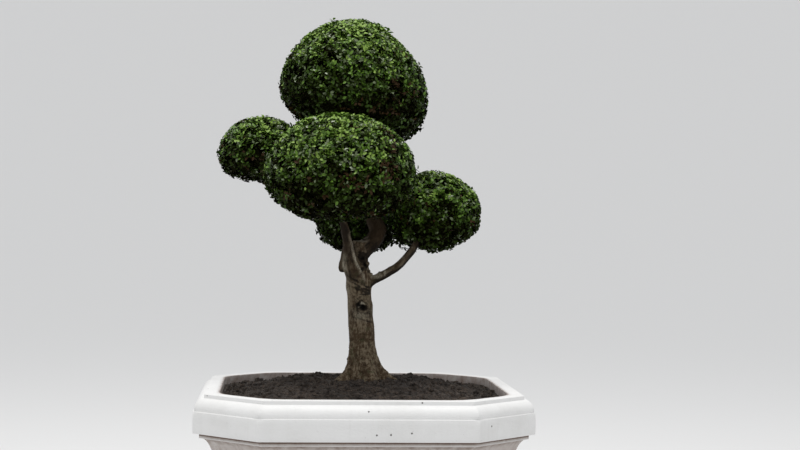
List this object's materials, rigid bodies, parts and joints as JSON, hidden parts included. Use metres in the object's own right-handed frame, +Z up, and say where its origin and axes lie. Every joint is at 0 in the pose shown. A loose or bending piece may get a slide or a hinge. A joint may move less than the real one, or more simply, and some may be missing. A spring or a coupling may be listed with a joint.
{
  "type": "clipped bonsai tree in a masonry planter",
  "caption": "Bonsai tree pruned into rounded masses of small leaves on curved boughs, growing in an octagonal painted masonry planter with a moulded cap and plinth.",
  "frame": {"origin": "middle of the planter's flat underside, on the ground", "axes": "+Z up along the trunk; the tree's best side faces -Y; X and Y square to the planter's wide faces"},
  "size_m": [1.4, 1.4, 2.4012],
  "materials": {
    "painted_masonry": "matt masonry paint, slightly weathered",
    "soil": "damp crumbly potting soil",
    "bark": "rough grey-brown bark",
    "foliage": "small glossy leaves"
  },
  "bodies": {
    "root": {"planter": "painted_masonry", "soil": "soil", "trunk": "bark", "leader_lower": "bark", "leader_upper": "bark", "front_bough": "bark", "right_bough_lower": "bark", "right_bough_upper": "bark", "left_bough": "bark", "back_bough": "bark", "old_stub": "bark", "top_dome": "foliage", "front_dome": "foliage", "left_ball": "foliage", "right_ball": "foliage", "back_ball": "foliage"}
  },
  "joints": []
}
